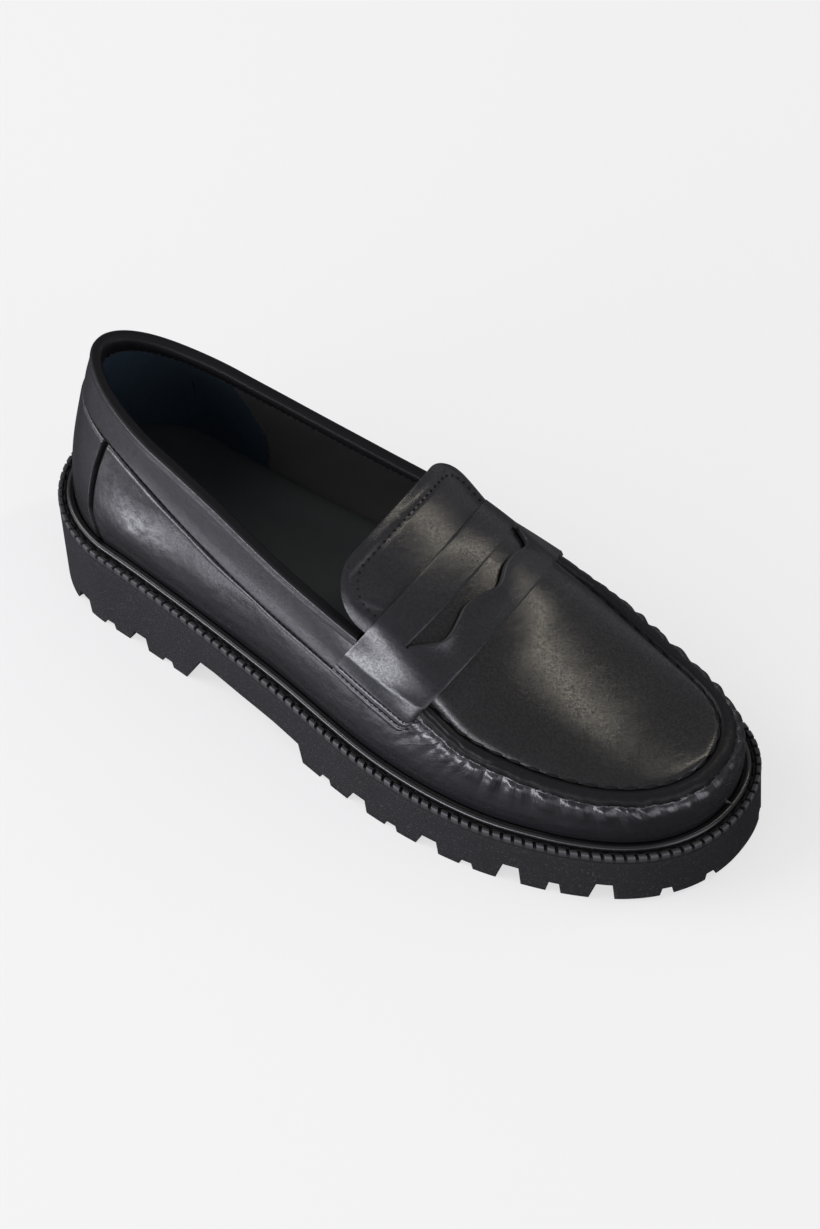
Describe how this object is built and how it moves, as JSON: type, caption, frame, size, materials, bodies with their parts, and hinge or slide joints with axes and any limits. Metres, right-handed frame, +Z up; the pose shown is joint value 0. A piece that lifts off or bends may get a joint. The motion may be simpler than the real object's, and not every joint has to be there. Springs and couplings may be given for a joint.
{
  "type": "slip-on penny loafer",
  "caption": "Black leather slip-on penny loafer, right shoe, with a moccasin seam, slotted saddle strap, tongue, welt and chunky lugged rubber sole.",
  "frame": {"origin": "on the floor under the middle of the sole's outline", "axes": "+X towards the toe, -Y towards the outer side of the foot, +Z up"},
  "size_m": [0.2717, 0.1016, 0.1043],
  "materials": {
    "sole_rubber": "matt moulded rubber",
    "welt_rubber": "satin moulded rubber",
    "upper_leather": "smooth semi-gloss leather",
    "strap_leather": "smooth semi-gloss leather",
    "tongue_leather": "smooth semi-gloss leather",
    "binding_leather": "smooth semi-gloss leather",
    "insole_leather": "matt lining leather"
  },
  "bodies": {
    "root": {"outsole": "sole_rubber", "welt": "welt_rubber", "upper": "upper_leather", "saddle_strap": "strap_leather", "tongue": "tongue_leather", "collar_binding": "binding_leather", "insole": "insole_leather"}
  },
  "joints": []
}
